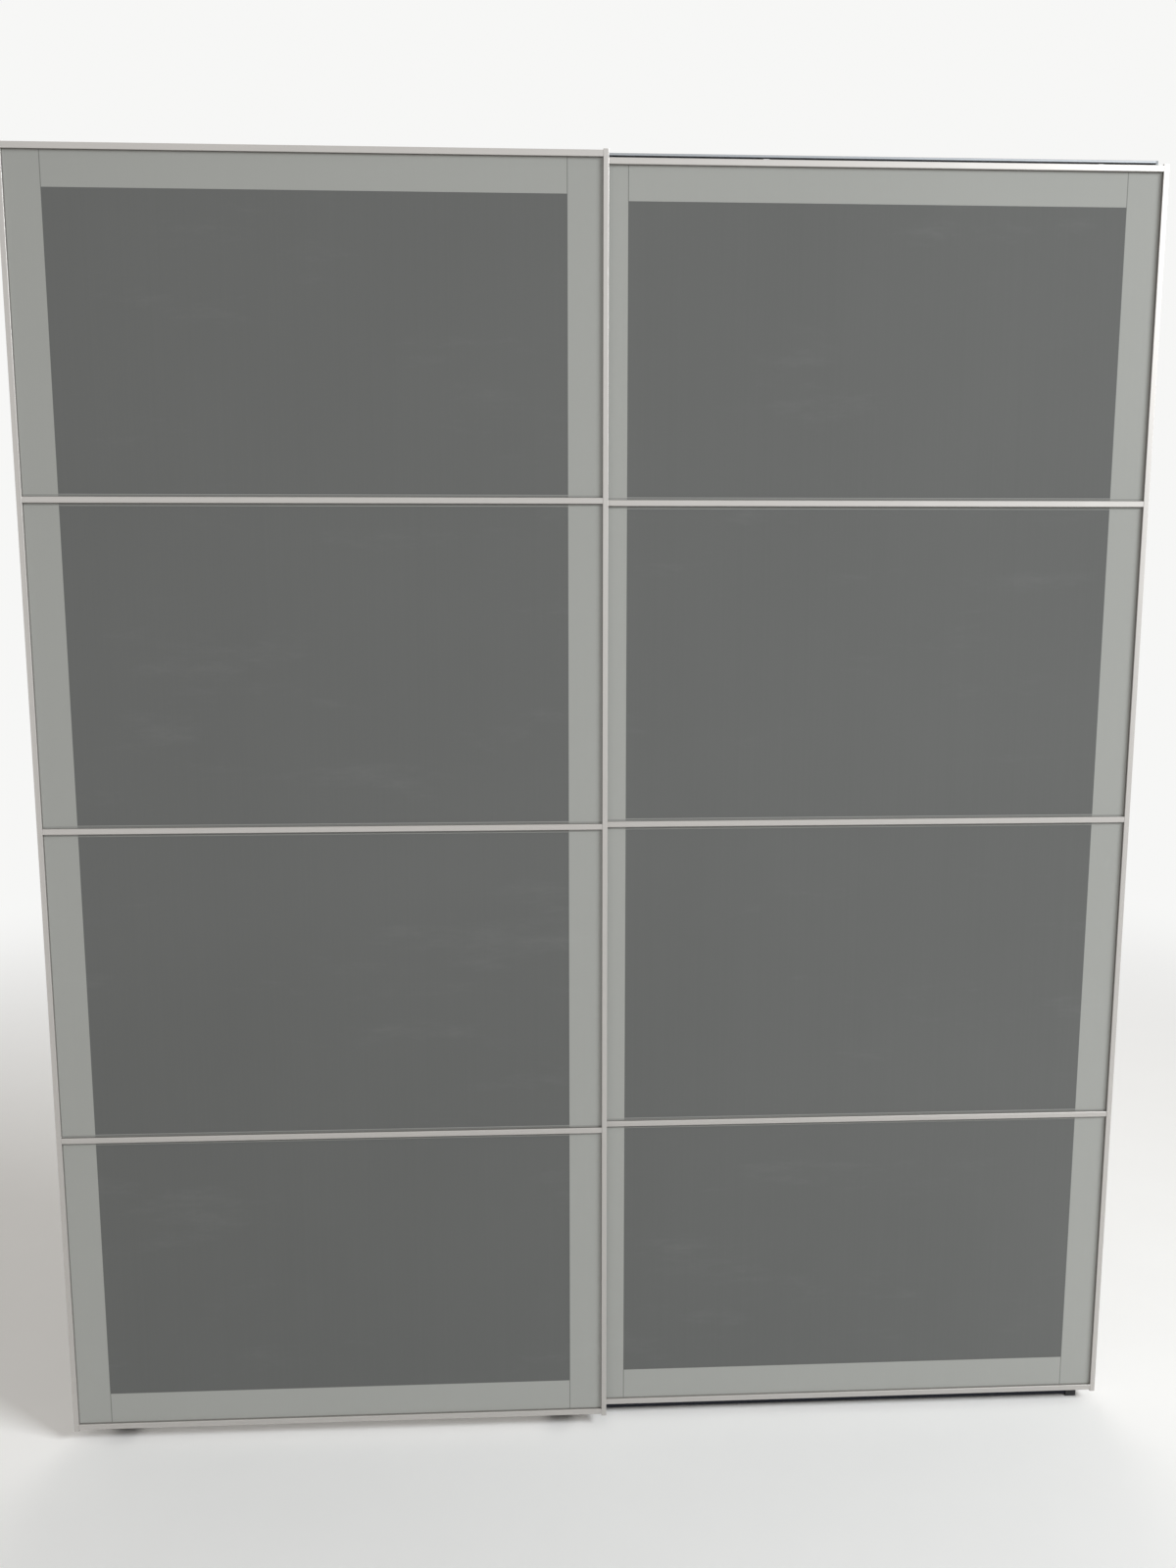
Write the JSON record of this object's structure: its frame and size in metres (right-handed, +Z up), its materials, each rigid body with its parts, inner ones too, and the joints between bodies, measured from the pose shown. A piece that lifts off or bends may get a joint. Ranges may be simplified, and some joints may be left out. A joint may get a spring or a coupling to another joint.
{
  "type": "pair of sliding wardrobe doors",
  "caption": "Framed glass sliding wardrobe doors with glazing bars and a pale board border, hung by grooved wheels from a top rail and guided at the foot by a bottom rail.",
  "frame": {"origin": "on the floor, midway along the closed pair and midway through its depth", "axes": "+X to the right seen from the room, +Y from the room into the wardrobe, +Z up"},
  "size_m": [2, 0.121, 2.3635],
  "materials": {
    "aluminium": "satin anodised, faintly warm silver",
    "rail_aluminium": "satin anodised silver",
    "dark_aluminium": "satin, anodised dark",
    "glass": "glossy front, frosted grey-green back",
    "board": "pale smooth melamine-faced board",
    "hanger_steel": "zinc-plated plate, satin, with turned pins",
    "wheel_plastic": "moulded, off-white",
    "black_plastic": "moulded, fine grain, black",
    "grey_plastic": "moulded, fine grain, the grey of the rail",
    "rubber": "soft, matte black"
  },
  "bodies": {
    "frame": {"top_rail": "rail_aluminium", "top_rail_left_cap": "grey_plastic", "top_rail_right_cap": "grey_plastic", "bottom_rail": "dark_aluminium", "bottom_rail_left_cap": "black_plastic", "bottom_rail_right_cap": "black_plastic", "left_end_stop": "black_plastic", "right_end_stop": "black_plastic", "stop_buffers": "rubber"},
    "left_door": {"left_door_left_profile": "aluminium", "left_door_left_board": "board", "left_door_left_hanger": "hanger_steel", "left_door_left_guide": "black_plastic", "left_door_right_profile": "aluminium", "left_door_right_board": "board", "left_door_right_hanger": "hanger_steel", "left_door_right_guide": "black_plastic", "left_door_top_profile": "aluminium", "left_door_top_board": "board", "left_door_bottom_profile": "aluminium", "left_door_bottom_board": "board", "left_door_muntin_1": "aluminium", "left_door_muntin_2": "aluminium", "left_door_muntin_3": "aluminium", "left_door_pane_1": "glass", "left_door_pane_2": "glass", "left_door_pane_3": "glass", "left_door_pane_4": "glass"},
    "left_door_left_wheel": {"left_door_left_wheel": "wheel_plastic"},
    "left_door_right_wheel": {"left_door_right_wheel": "wheel_plastic"},
    "right_door": {"right_door_left_profile": "aluminium", "right_door_left_board": "board", "right_door_left_hanger": "hanger_steel", "right_door_left_guide": "black_plastic", "right_door_right_profile": "aluminium", "right_door_right_board": "board", "right_door_right_hanger": "hanger_steel", "right_door_right_guide": "black_plastic", "right_door_top_profile": "aluminium", "right_door_top_board": "board", "right_door_bottom_profile": "aluminium", "right_door_bottom_board": "board", "right_door_muntin_1": "aluminium", "right_door_muntin_2": "aluminium", "right_door_muntin_3": "aluminium", "right_door_pane_1": "glass", "right_door_pane_2": "glass", "right_door_pane_3": "glass", "right_door_pane_4": "glass"},
    "right_door_left_wheel": {"right_door_left_wheel": "wheel_plastic"},
    "right_door_right_wheel": {"right_door_right_wheel": "wheel_plastic"}
  },
  "joints": [
    {"name": "left_door_slide", "type": "slide", "parent": "frame", "child": "left_door", "axis": [1, 0, 0], "range_m": [0, 0.983]},
    {"name": "left_door_left_wheel_turn", "type": "hinge", "parent": "left_door", "child": "left_door_left_wheel", "pos_m": [-0.931, 0.0445, 2.338], "axis": [0, 1, 0], "continuous": true},
    {"name": "left_door_right_wheel_turn", "type": "hinge", "parent": "left_door", "child": "left_door_right_wheel", "pos_m": [-0.052, 0.0445, 2.338], "axis": [0, 1, 0], "continuous": true},
    {"name": "right_door_slide", "type": "slide", "parent": "frame", "child": "right_door", "axis": [1, 0, 0], "range_m": [-0.983, 0]},
    {"name": "right_door_left_wheel_turn", "type": "hinge", "parent": "right_door", "child": "right_door_left_wheel", "pos_m": [0.052, 0.0145, 2.338], "axis": [0, 1, 0], "continuous": true},
    {"name": "right_door_right_wheel_turn", "type": "hinge", "parent": "right_door", "child": "right_door_right_wheel", "pos_m": [0.931, 0.0145, 2.338], "axis": [0, 1, 0], "continuous": true}
  ],
  "couplings": [
    {"joint": "left_door_left_wheel_turn", "follows": "left_door_slide", "rad_per_m": 86.957},
    {"joint": "left_door_right_wheel_turn", "follows": "left_door_slide", "rad_per_m": 86.957},
    {"joint": "right_door_left_wheel_turn", "follows": "right_door_slide", "rad_per_m": 86.957},
    {"joint": "right_door_right_wheel_turn", "follows": "right_door_slide", "rad_per_m": 86.957}
  ]
}
